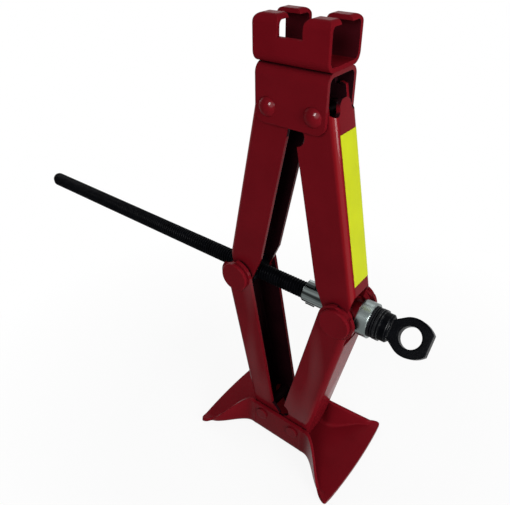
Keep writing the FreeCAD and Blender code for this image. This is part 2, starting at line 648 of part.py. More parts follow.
def saddle():
    """Channel on the bracket; each wall is notched into two tabs with curled tops."""
    body = new_body("saddle")
    half = "Sizes.saddle_half_width"
    bend = "Sizes.head_bend_radius"
    lip = "Sizes.saddle_lip_radius"
    metal = "Sizes.head_sheet"
    top = "Sizes.saddle_height"
    side = []
    for inside in (False, True):
        wall = f"({half} - {metal})" if inside else half
        floor = metal if inside else "0"
        peak = f"({top} - {metal})" if inside else top
        bend_radius = f"({bend} - {metal})" if inside else bend
        lip_radius = f"({lip} - {metal})" if inside else lip
        run = [
            (f"({half} - {bend})", floor, bend_radius), (wall, bend),
            (wall, f"({top} - {lip})", lip_radius), (f"({half} - {lip})", peak),
            (f"({half} - {lip} - Sizes.saddle_lip_reach)", peak),
        ]
        side.append(run)

    def reversed_run(run):
        points = [corner[:2] for corner in run]
        radii = [corner[2] if len(corner) == 3 else None for corner in run]
        turned = []
        for number in range(len(run) - 1, -1, -1):
            radius = radii[number - 1] if number > 0 else None
            turned.append(points[number] if radius is None else points[number] + (f"-{radius}",))
        return turned

    def mirrored_run(run):
        return [(f"-{corner[0]}", corner[1]) + tuple(f"-{radius}" for radius in corner[2:]) for corner in run]

    outer, inner = side
    path = outer + reversed_run(inner) + mirrored_run(inner) + reversed_run(mirrored_run(outer))
    profile = new_sketch(body, "YZ_Plane")
    draw_outline(profile, path)
    pad(body, profile, "2 * Sizes.saddle_half_length")

    length = "Sizes.saddle_half_length"
    notch = "Sizes.saddle_notch_half_width"
    clear = f"(2 * {top})"
    corner = "Sizes.saddle_tab_corner"
    cut = new_sketch(body, "XZ_Plane")
    sill = "Sizes.saddle_notch_floor"
    draw_outline(cut, [(f"-{notch}", sill), (notch, sill), (notch, clear), (f"-{notch}", clear)])
    pocket(body, cut)
    corners = new_sketch(body, "XZ_Plane")
    low = f"({top} - {corner})"
    for end, turn in (("1", ""), ("-1", "-")):
        outside = f"({end} * {length})"
        draw_outline(corners, [
            (outside, low, f"{turn}{corner}"), (f"({outside} - {end} * {corner})", top),
            (f"({outside} - {end} * {corner})", clear), (f"({outside} + {end} * {corner})", clear),
            (f"({outside} + {end} * {corner})", low),
        ])
        tab = f"({end} * {notch})"
        draw_outline(corners, [
            (f"({tab} + {end} * {corner})", top, f"{turn}{corner}"), (tab, low),
            (f"({tab} - {end} * {corner} / 2)", low), (f"({tab} - {end} * {corner} / 2)", clear),
            (f"({tab} + {end} * {corner})", clear),
        ])
    pocket(body, corners)
    place(body, z=BRACKET_TOP)


def trunnion(label, x, diameter):
    """Cross barrel with two stub shafts, bored for the screw."""
    body = new_body(label)
    barrel = f"{diameter} / 2"
    stub = "Sizes.stub_diameter / 2"
    profile = new_sketch(body, "XY_Plane")
    draw_outline(profile, [
        ("0", f"-{STUB_END}"), (stub, f"-{STUB_END}"), (stub, f"-{BARREL_HALF}"),
        (barrel, f"-{BARREL_HALF}"), (barrel, BARREL_HALF), (stub, BARREL_HALF),
        (stub, STUB_END), ("0", STUB_END),
    ])
    revolve(body, profile, "V_Axis")
    place(body, x, z=MID_Z)
    return body


def bore(body):
    """Hole for the screw along the body's X."""
    hole = new_sketch(body, "YZ_Plane")
    draw_circle(hole, "0", "0", f"{SCREW_RADIUS} + Sizes.running_play")
    pocket(body, hole)


def trunnions():
    """Nut on the left, bearing block with a boss on the right."""
    bore(trunnion("left_trunnion_nut", f"-{MID_X}", "Sizes.nut_diameter"))
    block = trunnion("right_trunnion", MID_X, "Sizes.block_diameter")
    neck = "Sizes.neck_diameter / 2"
    boss = "Sizes.boss_diameter / 2"
    profile = new_sketch(block, "XY_Plane")
    draw_outline(profile, [
        ("0", "0"), (BOSS_END, "0"), (BOSS_END, boss), (BOSS_START, boss), (BOSS_START, neck), ("0", neck),
    ])
    revolve(block, profile, "H_Axis")
    bore(block)


def ring_pair(label, profile_path):
    """Two equal turned pieces on the stub shafts of one trunnion, front and back, in one node."""
    x = MID_X if label.startswith("right") else f"-{MID_X}"
    rings = []
    for front in ("1", "-1"):
        body = doc.addObject("PartDesign::Body", "Ring")
        profile = new_sketch(body, "XY_Plane")
        draw_outline(profile, [(radius, f"{front} * {along}") for radius, along in profile_path])
        revolve(body, profile, "V_Axis")
        place(body, x, z=MID_Z)
        rings.append(body)
    pair = finished(doc.addObject("Part::Compound", "Pair"), label)
    pair.Links = rings


def pivot_rings():
    """Closed discs outside the lower arms and washers between the arms."""
    stub = "Sizes.stub_diameter / 2"
    rim = "Sizes.disc_diameter / 2"
    washer = "Sizes.spacer_diameter / 2"
    inside = f"({LOWER_HALF} + Sizes.end_play)"
    face = f"({inside} + Sizes.disc_height)"
    first = f"({UPPER_HALF} + Sizes.end_play)"
    last = f"({UPPER_HALF} + Sizes.arm_side_gap - Sizes.end_play)"
    for side in ("left", "right"):
        ring_pair(f"{side}_pivot_discs", [
            (stub, inside), (rim, inside), (rim, f"({face} - Sizes.disc_chamfer)"),
            (f"({rim} - Sizes.disc_chamfer)", face), ("0", face), ("0", STUB_END), (stub, STUB_END),
        ])
        ring_pair(f"{side}_spacer_washers", [(stub, first), (washer, first), (washer, last), (stub, last)])


def turned_on_screw(label, path):
    """Piece turned round the screw's axis, placed at the right trunnion's pivot."""
    body = new_body(label)
    profile = new_sketch(body, "XY_Plane")
    draw_outline(profile, path)
    revolve(body, profile, "H_Axis")
    place(body, MID_X, z=MID_Z)
    return body


def screw():
    """Screw rod and the pinned sleeve that stops it against the nut."""
    tip = "-Sizes.screw_reach"
    end = f"({COLLAR_START} + Sizes.socket_depth)"
    rod = turned_on_screw("lead_screw", [
        (tip, "0"), (end, "0"), (end, SCREW_RADIUS), (f"({tip} + Sizes.screw_tip)", SCREW_RADIUS),
        (tip, f"{SCREW_RADIUS} - Sizes.screw_tip / 2"),
    ])
    far = f"(-{SLEEVE_START} - Sizes.sleeve_length)"
    sleeve_radius = "Sizes.sleeve_diameter / 2"
    sleeve = turned_on_screw("stop_sleeve", [
        (far, SCREW_RADIUS), (f"-{SLEEVE_START}", SCREW_RADIUS),
        (f"-{SLEEVE_START}", sleeve_radius), (far, sleeve_radius),
    ])
    pin_x = f"({far} + Sizes.sleeve_pin_offset)"
    near_x = f"({pin_x} - Sizes.sleeve_pin_length / 2)"
    far_x = f"({pin_x} + Sizes.sleeve_pin_length / 2)"
    beside = "Sizes.sleeve_pin_width / 2"
    section = [(near_x, f"-{beside}"), (far_x, f"-{beside}"), (far_x, beside), (near_x, beside)]
    for body in (rod, sleeve):
        hole = new_sketch(body, "XY_Plane")
        draw_outline(hole, section)
        pocket(body, hole)
    pin = new_body("sleeve_pin")
    profile = new_sketch(pin, "XY_Plane")
    draw_outline(profile, section)
    pad(pin, profile, "Sizes.sleeve_pin_height")
    place(pin, MID_X, z=MID_Z)


def bearing():
    """Thrust ball bearing between the boss and the crank collar."""
    outside = "Sizes.bearing_diameter / 2"
    loose = f"({SCREW_RADIUS} + 5 * Sizes.running_play)"
    for label, start, inside in (("bearing_housing_washer", BOSS_END, loose),
                                 ("bearing_shaft_washer", SHAFT_RACE_START, SCREW_RADIUS)):
        end = f"({start} + Sizes.bearing_washer)"
        turned_on_screw(label, [(start, inside), (end, inside), (end, outside), (start, outside)])
    pitch = f"(({SCREW_RADIUS} + {outside}) / 2)"
    middle = f"({BOSS_END} + Sizes.bearing_washer + {RACE_GAP} / 2)"
    reach = "(Sizes.ball_diameter / 2 + Sizes.cage_wall)"
    left = f"({middle} - Sizes.cage_height / 2)"
    right = f"({middle} + Sizes.cage_height / 2)"
    cage = turned_on_screw("bearing_cage", [
        (left, f"{pitch} - {reach}"), (right, f"{pitch} - {reach}"),
        (right, f"{pitch} + {reach}"), (left, f"{pitch} + {reach}"),
    ])
    holes = new_sketch(cage, "YZ_Plane")
    balls = []
    for number in range(int(size("Sizes.ball_count"))):
        turn = f"({number} * 360 / Sizes.ball_count * 1 deg)"
        across = f"{pitch} * cos({turn})"
        up = f"{pitch} * sin({turn})"
        draw_circle(holes, across, up, "Sizes.ball_diameter / 2")
        ball = doc.addObject("Part::Sphere", "Ball")
        ball.setExpression("Radius", "Sizes.ball_diameter / 2")
        place(ball, f"{MID_X} + {middle}", across, f"{MID_Z} + {up}")
        balls.append(ball)
    pocket(cage, holes)
    finished(doc.addObject("Part::Compound", "Balls"), "bearing_balls").Links = balls


def crank_eye():
    """Collar on the screw's end with the eye that the crank hooks into."""
    flange = "Sizes.flange_diameter / 2"
    collar = "Sizes.collar_diameter / 2"
    shoulder = f"({COLLAR_START} + Sizes.flange_length)"
    end = f"({shoulder} + Sizes.collar_length)"
    socket = f"({COLLAR_START} + Sizes.socket_depth)"
    chamfer = "Sizes.collar_chamfer"
    body = turned_on_screw("crank_eye", [
        (COLLAR_START, SCREW_RADIUS), (socket, SCREW_RADIUS), (socket, "0"), (end, "0"),
        (end, f"({collar} - {chamfer})"), (f"({end} - {chamfer})", collar),
        (shoulder, collar), (shoulder, flange), (COLLAR_START, flange),
    ])
    centre = f"({end} + Sizes.eye_offset)"
    neck = "Sizes.eye_neck_half_width"
    wide = "Sizes.eye_half_width"
    shoulders = "Sizes.eye_shoulder_radius"
    back = f"({centre} - {wide} * sin(Sizes.eye_taper_angle * 1 deg))"
    beside = f"{wide} * cos(Sizes.eye_taper_angle * 1 deg)"
    tip = f"({centre} + Sizes.eye_end)"
    tip_half = "Sizes.eye_end_half_width"
    inside = f"({end} - {chamfer})"
    plate = new_sketch(body, "XZ_Plane")
    draw_outline(plate, [
        (inside, f"-{neck}"), (end, f"-{neck}"), (back, f"-{beside}", wide), (centre, f"-{wide}", shoulders),
        (tip, f"-{tip_half}"), (tip, tip_half, shoulders), (centre, wide, wide), (back, beside),
        (end, neck), (inside, neck),
    ])
    pad(body, plate, "Sizes.eye_sheet")
    hole = new_sketch(body, "XZ_Plane")
    draw_circle(hole, centre, "0", "Sizes.eye_hole / 2")
    pierced = pocket(body, hole)

    def face_edge(edge):
        middle = edge.valueAt((edge.FirstParameter + edge.LastParameter) / 2)
        ends = [vertex.Point for vertex in edge.Vertexes] + [middle]
        on_face = all(abs(abs(point.y) - size("Sizes.eye_sheet / 2")) < 0.01 for point in ends)
        return on_face and middle.x > size(f"{end} + Sizes.eye_edge")

    fillet(body, pierced, "Sizes.eye_edge", face_edge)
    place(body, MID_X, z=MID_Z, axis=Vector(-1, 0, 0), angle="Sizes.eye_roll_angle")


def write_parts():
    """Check every object of the document, then write one file for each piece."""
    doc.recompute()
    for item in doc.Objects:
        if "Invalid" in item.State or "Error" in item.State:
            raise RuntimeError(f"{item.Name} ({item.Label}) failed: {item.State}")
    for item in nodes:
        if item.Shape.isNull() or not item.Shape.isValid():
            raise RuntimeError(f"{item.Label} has no valid shape")
    os.makedirs("parts", exist_ok=True)
    for item in nodes:
        item.Shape.exportStep(f"parts/{item.Label}.step")
        print(item.Label, len(item.Shape.Solids), round(item.Shape.Volume, 1))


base()
base_pin("base_left_pin", "-Sizes.pivot_half_gap")
base_pin("base_right_pin", "Sizes.pivot_half_gap")
arms()
bracket()
rivet("top_left_rivet", "-Sizes.pivot_half_gap")
rivet("top_right_rivet", "Sizes.pivot_half_gap")
saddle()
trunnions()
pivot_rings()
screw()
bearing()
crank_eye()
write_parts()
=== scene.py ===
"""Looks of the scissor jack: glossy red paint, plating, a threaded screw and a blank label."""
import json
import math

import bpy
from mathutils import Matrix, Vector


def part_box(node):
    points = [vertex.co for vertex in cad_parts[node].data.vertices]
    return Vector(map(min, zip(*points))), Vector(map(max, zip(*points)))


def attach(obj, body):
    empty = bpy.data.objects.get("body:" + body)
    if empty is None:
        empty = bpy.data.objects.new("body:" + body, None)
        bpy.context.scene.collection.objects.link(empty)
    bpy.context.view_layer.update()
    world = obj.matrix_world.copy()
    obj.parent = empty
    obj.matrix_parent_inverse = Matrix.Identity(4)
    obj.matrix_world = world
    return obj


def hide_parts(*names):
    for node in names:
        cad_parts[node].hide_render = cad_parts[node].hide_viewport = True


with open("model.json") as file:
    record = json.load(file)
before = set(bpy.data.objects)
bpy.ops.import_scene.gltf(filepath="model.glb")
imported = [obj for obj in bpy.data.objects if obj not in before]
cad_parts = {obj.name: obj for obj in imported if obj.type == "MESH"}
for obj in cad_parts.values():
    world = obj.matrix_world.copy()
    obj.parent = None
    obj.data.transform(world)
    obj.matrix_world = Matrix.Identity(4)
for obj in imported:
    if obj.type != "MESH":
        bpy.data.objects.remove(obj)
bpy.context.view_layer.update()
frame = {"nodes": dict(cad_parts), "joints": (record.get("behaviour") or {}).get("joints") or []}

# Nodes that share a finish
PLAIN_RED_NODES = (
    "base_plate", "left_pivot_discs", "right_pivot_discs",
    "left_spacer_washers", "right_spacer_washers",
)
BASE_PIN_NODES = ("base_left_pin", "base_right_pin")
RIVET_NODES = ("top_left_rivet", "top_right_rivet")
LOWER_ARM_NODES = ("lower_left_arm", "lower_right_arm")
UPPER_ARM_NODES = ("upper_left_arm", "upper_right_arm")
SLEEVE_NODES = ("stop_sleeve", "sleeve_pin")
BEARING_NODES = (
    "bearing_housing_washer", "bearing_shaft_washer", "bearing_cage", "bearing_balls",
)

# Places and sizes on the jack, in metres
PIVOTS = {joint["name"]: Vector(joint["pos_m"]) for joint in frame["joints"]}
SCREW_HEIGHT = PIVOTS["screw_spin"].z
# The darkened gear teeth reach this far from their pivot towards the screw
TEETH_REACH = 0.01585
TEETH_START = SCREW_HEIGHT - PIVOTS["fold"].z - TEETH_REACH
TEETH_HALF_SPAN = PIVOTS["fold"].x
# The bearing block is painted up to its boss, with a soft edge
BOSS_START = 0.0515
SPRAY_EDGE = 0.001
# The channels' open ends past this X, so far above and below the screw, are left out of the painted
# shade
OPEN_END_X = 0.025
OPEN_END_REACH = 0.028
# Half the inside width of the channels, and half the length of the pins' darker middles
LOWER_ARM_HALF_WIDTH = 0.0137
UPPER_ARM_HALF_WIDTH = 0.0092
BASE_PIN_HALF_SHANK = 0.0165
RIVET_HALF_SHANK = 0.0117
# Depth of the curled tops of the saddle's tabs
TAB_CURL = 0.0025

# Colours, as linear red, green, blue and alpha
WHITE = (1.0, 1.0, 1.0, 1.0)
FLOOR_GREY = (0.5, 0.5, 0.5, 1.0)
RED_DEEP = (0.094, 0.0030, 0.0058, 1.0)
RED_CLEAR = (0.112, 0.0038, 0.0072, 1.0)
# Lighter edge patches: partly rubbed wear, partly a painted highlight
RED_RUB_AND_HIGHLIGHT = (0.20, 0.022, 0.028, 1.0)
# Painted highlight on the arms' long bends
RED_BEND_LIGHT = (0.155, 0.0045, 0.0070, 1.0)
# Painted shade, inside the channels and in tight gaps
PAINTED_SHADE_DEEP = (0.010, 0.0022, 0.0036, 1.0)
PAINTED_SHADE_CLEAR = (0.017, 0.0034, 0.0054, 1.0)
SHANK_DEEP = (0.006, 0.0022, 0.0030, 1.0)
SHANK_CLEAR = (0.012, 0.0034, 0.0044, 1.0)
ZINC_RUBBED = (0.36, 0.40, 0.39, 1.0)
# Dark lines along a tube: partly grain, partly a painted reflection
DRAWN_AND_REFLECTED_LINE = (0.012, 0.014, 0.014, 1.0)
BLACK_DEEP = (0.0008, 0.0009, 0.0014, 1.0)
BLACK_SCALE = (0.0022, 0.0024, 0.0034, 1.0)
BLACK_RUB_AND_HIGHLIGHT = (0.05, 0.052, 0.058, 1.0)
BEARING_DEEP = (0.004, 0.004, 0.005, 1.0)
BEARING_PALE = (0.012, 0.012, 0.014, 1.0)
VINYL_DEEP = (0.34, 0.375, 0.0055, 1.0)
VINYL_PALE = (0.375, 0.415, 0.008, 1.0)
VINYL_SCUFFED = (0.25, 0.26, 0.08, 1.0)

# Red, green and blue of zinc, for a paleness of 1
ZINC_DULL_TINT = (0.72, 0.84, 0.82)
ZINC_BRIGHT_TINT = (0.86, 1.0, 0.98)

# Kinds of group sockets
VALUE = "NodeSocketFloat"
VECTOR = "NodeSocketVector"


def only(piece):
    """Leave one object selected and active, in object mode."""
    if bpy.context.object is not None and bpy.context.object.mode != "OBJECT":
        bpy.ops.object.mode_set(mode="OBJECT")
    bpy.ops.object.select_all(action="DESELECT")
    piece.select_set(True)
    bpy.context.view_layer.objects.active = piece


def new_piece(name):
    """Name the primitive that was just added."""
    piece = bpy.context.object
    piece.name = name
    piece.data.name = name
    return piece


def pick_faces(piece, chosen):
    """Select in edit mode the faces that the test picks by place or normal."""
    bpy.ops.mesh.select_all(action="DESELECT")
    bpy.ops.object.mode_set(mode="OBJECT")
    for face in piece.data.polygons:
        face.select = chosen(face)
    bpy.ops.object.mode_set(mode="EDIT")


def apply_modifier(piece, kind, **values):
    """Add a modifier with its settings and apply it."""
    modifier = piece.modifiers.new(kind.title(), kind)
    for key, value in values.items():
        setattr(modifier, key, value)
    bpy.ops.object.modifier_apply(modifier=modifier.name)


def fill(tree, socket, value):
    """Link another socket into a socket, or set a plain value on it."""
    if isinstance(value, bpy.types.NodeSocket):
        tree.links.new(value, socket)
    else:
        socket.default_value = value


def feed(tree, node, **sockets):
    """Fill a node's sockets by name, with _ for each space."""
    for key, value in sockets.items():
        fill(tree, node.inputs[key.replace("_", " ")], value)


def add_node(tree, kind, settings=None, **sockets):
    """Add a node, set its settings and fill its sockets."""
    node = tree.nodes.new(kind)
    for key, value in (settings or {}).items():
        setattr(node, key, value)
    feed(tree, node, **sockets)
    return node


def math_node(tree, operation, first, second=0.0, clamp=False):
    """Maths on two values or sockets; gives the result."""
    node = add_node(tree, "ShaderNodeMath", {"operation": operation, "use_clamp": clamp})
    fill(tree, node.inputs[0], first)
    fill(tree, node.inputs[1], second)
    return node.outputs[0]


def product(tree, first, *others):
    """Product of values or sockets."""
    for other in others:
        first = math_node(tree, "MULTIPLY", first, other)
    return first


def mix_colour(tree, factor, first, second):
    """Mix two colours; gives the result."""
    node = add_node(tree, "ShaderNodeMix", {"data_type": "RGBA"})
    # The node repeats its socket names for each kind of data, so the colours go by number
    fill(tree, node.inputs[0], factor)
    fill(tree, node.inputs[6], first)
    fill(tree, node.inputs[7], second)
    return node.outputs[2]


def ramp(tree, value, start, end, first=0.0, last=1.0):
    """Go from first to last as the value goes from start to end, held outside."""
    node = add_node(
        tree, "ShaderNodeMapRange",
        Value=value, From_Min=start, From_Max=end, To_Min=first, To_Max=last,
    )
    return node.outputs["Result"]


def between(tree, mask, first, last):
    """Go from first to last as a mask goes from 0 to 1."""
    return ramp(tree, mask, 0.0, 1.0, first, last)


def object_place(tree):
    """Place on the surface in object coordinates."""
    return tree.nodes.new("ShaderNodeTexCoord").outputs["Object"]


def split(tree, vector):
    """X, Y and Z of a vector."""
    return add_node(tree, "ShaderNodeSeparateXYZ", Vector=vector).outputs


def noise(tree, place, scale, detail):
    """Noise about 0.5."""
    return add_node(tree, "ShaderNodeTexNoise", Vector=place, Scale=scale, Detail=detail).outputs[0]


def stretched_noise(tree, stretch, scale, detail):
    """Noise stretched out along each axis whose share in stretch is small."""
    place = add_node(tree, "ShaderNodeMapping", Vector=object_place(tree), Scale=stretch)
    return noise(tree, place.outputs["Vector"], scale, detail)


def bump(tree, height, strength, distance, normal):
    """Fine relief over a normal."""
    node = add_node(
        tree, "ShaderNodeBump", Strength=strength, Distance=distance, Height=height, Normal=normal)
    return node.outputs["Normal"]


def new_group(name, inputs, outputs):
    """Shader node group; gives its tree, what it is given and what it puts out, by name."""
    group = bpy.data.node_groups.new(name, "ShaderNodeTree")
    for socket, value in inputs.items():
        made = group.interface.new_socket(name=socket, in_out="INPUT", socket_type=VALUE)
        made.default_value = value
    for socket, kind in outputs.items():
        group.interface.new_socket(name=socket, in_out="OUTPUT", socket_type=kind)
    given = group.nodes.new("NodeGroupInput").outputs
    put_out = group.nodes.new("NodeGroupOutput").inputs
    return group, given, put_out


def mottle_group():
    """Cloudy variation at two scales, from 0 to 1."""
    group, given, put_out = new_group(
        "mottle", {"Scale": 60.0, "Fine Scale": 600.0}, {"Cloud": VALUE, "Fine": VALUE})
    place = object_place(group)
    cloud = noise(group, place, given["Scale"], detail=4.0)
    fine = noise(group, place, given["Fine Scale"], detail=3.0)
    fill(group, put_out["Cloud"], ramp(group, cloud, start=0.3, end=0.7))
    fill(group, put_out["Fine"], ramp(group, fine, start=0.3, end=0.7))
    return group


def edge_group():
    """Rounded shading of sharp edges, a mask of them, and a patchy mask of some of them, used for
    rubbed wear and, in some finishes, for a lighter painted edge highlight.
    """
    group, given, put_out = new_group(
        "edge", {"Radius": 0.0006, "Rub Scale": 180.0},
        {"Normal": VECTOR, "Edge": VALUE, "Rub": VALUE},
    )
    rounded = add_node(group, "ShaderNodeBevel", {"samples": 6}, Radius=given["Radius"]).outputs[0]
    flat = group.nodes.new("ShaderNodeNewGeometry").outputs["Normal"]
    alike = add_node(group, "ShaderNodeVectorMath", {"operation": "DOT_PRODUCT"})
    fill(group, alike.inputs[0], rounded)
    fill(group, alike.inputs[1], flat)
    edge = ramp(group, alike.outputs["Value"], start=0.97, end=0.8)
    patches = noise(group, object_place(group), given["Rub Scale"], detail=5.0)
    rub_and_highlight = product(group, edge, ramp(group, patches, start=0.5, end=0.66))
    fill(group, put_out["Normal"], rounded)
    fill(group, put_out["Edge"], edge)
    fill(group, put_out["Rub"], rub_and_highlight)
    return group


def inside_group():
    """Mask of the faces inside a channel that opens towards X = 0, which get painted shade, and of
    its gear teeth, which get the same dark colour.

    The painted shade leaves out the open ends round the bearing block and what lies above the
    ceiling.
    """
    group, given, put_out = new_group(
        "inside", {"Half Width": 0.01, "Teeth Half Span": 0.0, "Ceiling": 1.0}, {"Inside": VALUE})
    texture = group.nodes.new("ShaderNodeTexCoord").outputs
    place = split(group, texture["Object"])
    facing = split(group, texture["Normal"])
    over_screw = math_node(group, "SUBTRACT", place["Z"], SCREW_HEIGHT)
    from_screw = math_node(group, "ABSOLUTE", over_screw)

    # A face that looks back to the middle has a place and a normal of opposite signs
    flange = ramp(group, product(group, place["Y"], facing["Y"]), start=-0.002, end=-0.006)
    web = ramp(group, product(group, place["X"], facing["X"]), start=-0.001, end=-0.003)
    across = math_node(group, "ABSOLUTE", place["Y"])
    in_width = math_node(group, "LESS_THAN", across, given["Half Width"])
    hidden = math_node(group, "MAXIMUM", flange, product(group, web, in_width))

    # The open ends round the bearing block get no painted shade
    near_block = math_node(group, "GREATER_THAN", place["X"], OPEN_END_X)
    beside_screw = math_node(group, "LESS_THAN", from_screw, OPEN_END_REACH)
    shows_red = product(group, near_block, beside_screw)
    below = math_node(group, "LESS_THAN", place["Z"], given["Ceiling"])
    in_shade = math_node(group, "SUBTRACT", below, shows_red, clamp=True)

    # The gear teeth get the same dark colour as the painted shade
    sideways = math_node(group, "ABSOLUTE", facing["Y"])
    edge_on = math_node(group, "LESS_THAN", sideways, 0.5)
    geared = math_node(group, "GREATER_THAN", from_screw, TEETH_START)
    off_middle = math_node(group, "ABSOLUTE", place["X"])
    near_middle = math_node(group, "LESS_THAN", off_middle, given["Teeth Half Span"])
    teeth = product(group, edge_on, geared, near_middle)

    inside = math_node(group, "MAXIMUM", product(group, hidden, in_shade), teeth)
    fill(group, put_out["Inside"], inside)
    return group


MOTTLE = mottle_group()
EDGE = edge_group()
INSIDE = inside_group()


def use_group(tree, group, **values):
    """Place a shared group in a material with its own values; gives its outputs."""
    return add_node(tree, "ShaderNodeGroup", {"node_tree": group}, **values).outputs


def new_material(name):
    """Empty node material; gives the material, its tree and its principled shader."""
    material = bpy.data.materials.new(name)
    material.use_nodes = True
    tree = material.node_tree
    return material, tree, tree.nodes["Principled BSDF"]


def bend_slant(tree):
    """Largest on a channel's long bends, which face both along X and along Y."""
    facing = split(tree, tree.nodes.new("ShaderNodeTexCoord").outputs["Normal"])
    return math_node(tree, "ABSOLUTE", product(tree, facing["X"], facing["Y"]))


def gap_shade(tree):
    """Mask of painted shade in tight gaps, where little light reaches."""
    open_sky = add_node(tree, "ShaderNodeAmbientOcclusion", {"samples": 8}, Distance=0.006)
    return ramp(tree, open_sky.outputs["AO"], start=0.22, end=0.58, first=0.9, last=0.0)


def shank_middle(tree, half_length):
    """Mask of a pin's middle, along Y."""
    across = math_node(tree, "ABSOLUTE", split(tree, object_place(tree))["Y"])
    return math_node(tree, "LESS_THAN", across, half_length)


def clear_coat(tree, gloss, dome, slant, streaks):
    """Weight of the clear coat, which grows to gloss at a glancing angle, or on a dome head-on.

    It is thicker where a slant is given and is largest, and in soft upright streaks.
    """
    facing = add_node(tree, "ShaderNodeLayerWeight", Blend=0.5).outputs["Facing"]
    if dome:
        return ramp(tree, facing, start=0.005, end=0.035, first=gloss, last=0.0)
    coat = ramp(tree, facing, start=0.44, end=0.72, last=gloss)
    if slant is not None:
        coat = math_node(tree, "MAXIMUM", coat, ramp(tree, slant, start=0.4, end=0.46, last=0.32))
    if streaks is not None:
        soft = stretched_noise(tree, stretch=(1.0, 1.0, 0.25), scale=62.0, detail=0.0)
        coat = math_node(tree, "MAXIMUM", coat, ramp(tree, soft, start=0.45, end=0.8, last=streaks))
    return coat


def red_paint(name, gloss=0.18, sheen=0.011, dome=False, lit_bend=False, streaks=None,
              shank=None, channel=None, teeth=0.0, ceiling=1.0, shade_lift=0.0):
    """Glossy dark red stove enamel with a slight orange peel, edges lighter in patches (partly
    rubbed wear, partly a painted highlight) and painted shade in tight gaps.

    gloss, dome and streaks are the clear coat's, and sheen is the specular level under it.
    On the long bends, where asked, the colour is lighter, a painted highlight, and the clear coat
    is thicker. shank is half the length of a pin's middle, which is coloured darker. channel is
    half the inside width of a channel whose inside faces, up to the ceiling, get painted shade;
    the last argument is the share by which that painted shade is lightened. teeth is half the
    span of the channel's gear teeth, which get the same dark colour.
    """
    material, tree, shader = new_material(name)
    cloud = use_group(tree, MOTTLE, Scale=38.0, Fine_Scale=520.0)
    edge = use_group(tree, EDGE, Radius=0.0007, Rub_Scale=210.0)
    colour = mix_colour(tree, cloud["Cloud"], RED_DEEP, RED_CLEAR)
    # Patches of the edges are lighter: partly rubbed wear, partly a painted highlight
    colour = mix_colour(tree, product(tree, edge["Rub"], 0.3), colour, RED_RUB_AND_HIGHLIGHT)
    slant = None
    # Lighter colour on the long bends: a painted highlight of the light from the side
    if lit_bend:
        slant = bend_slant(tree)
        bend_light = ramp(tree, slant, start=0.1, end=0.42, last=0.85)
        colour = mix_colour(tree, bend_light, colour, RED_BEND_LIGHT)
    inside = None
    # Painted shade on the channel's inside faces, lightened by the given share; the gear teeth get
    # the same dark colour
    if channel is not None:
        mask = use_group(tree, INSIDE, Half_Width=channel, Teeth_Half_Span=teeth, Ceiling=ceiling)
        inside = mask["Inside"]
        painted_shade = mix_colour(tree, cloud["Cloud"], PAINTED_SHADE_DEEP, PAINTED_SHADE_CLEAR)
        colour = mix_colour(tree, product(tree, inside, 1.0 - shade_lift), colour, painted_shade)
    # Painted shade in tight gaps
    colour = mix_colour(tree, gap_shade(tree), colour, PAINTED_SHADE_DEEP)
    # The middle of a pin is coloured darker
    if shank is not None:
        dark_shank = mix_colour(tree, cloud["Cloud"], SHANK_DEEP, SHANK_CLEAR)
        colour = mix_colour(tree, shank_middle(tree, shank), colour, dark_shank)
    if gloss > 0.0:
        coat = clear_coat(tree, gloss, dome, slant, streaks)
        if inside is not None:
            coat = product(tree, coat, math_node(tree, "SUBTRACT", 1.0, inside))
        feed(tree, shader, Coat_Weight=coat, Coat_Roughness=0.1)
    relief = bump(tree, cloud["Fine"], strength=0.04, distance=0.0003, normal=edge["Normal"])
    rough = between(tree, cloud["Fine"], 0.2, 0.27)
    feed(tree, shader, Base_Color=colour, Roughness=rough, Normal=relief, Specular_IOR_Level=sheen)
    return material


def zinc_plate(name, pale, rough, drawn_and_reflected=False, shows_red=False):
    """Zinc with a faint spangle, as pale and as rough as given.

    A banded tube has dark lines along X, partly the grain of drawing and partly a painted reflection
    of dark surroundings. A block painted red is red up to its boss.
    """
    material, tree, shader = new_material(name)
    cloud = use_group(tree, MOTTLE, Scale=110.0, Fine_Scale=1800.0)
    edge = use_group(tree, EDGE, Radius=0.0015, Rub_Scale=300.0)
    dull = [pale * part for part in ZINC_DULL_TINT] + [1.0]
    bright = [pale * part for part in ZINC_BRIGHT_TINT] + [1.0]
    colour = mix_colour(tree, cloud["Cloud"], dull, bright)
    colour = mix_colour(tree, edge["Rub"], colour, ZINC_RUBBED)
    metal = 1.0
    if drawn_and_reflected:
        # Dark lines along X: partly the grain of drawing, partly a painted reflection of dark
        # surroundings
        grain = stretched_noise(tree, stretch=(0.03, 1.0, 1.0), scale=260.0, detail=2.0)
        lines = ramp(tree, grain, start=0.4, end=0.58, first=0.94, last=0.0)
        colour = mix_colour(tree, lines, colour, DRAWN_AND_REFLECTED_LINE)
    if shows_red:
        along = split(tree, object_place(tree))["X"]
        paint = ramp(tree, along, BOSS_START, BOSS_START + SPRAY_EDGE, first=1.0, last=0.0)
        colour = mix_colour(tree, paint, colour, RED_CLEAR)
        metal = math_node(tree, "SUBTRACT", 1.0, paint)
    relief = bump(tree, cloud["Fine"], strength=0.03, distance=0.0003, normal=edge["Normal"])
    feed(tree, shader, Base_Color=colour, Metallic=metal, Normal=relief, Specular_IOR_Level=0.05)
    feed(tree, shader, Roughness=between(tree, cloud["Cloud"], rough, 0.75 * rough))
    return material


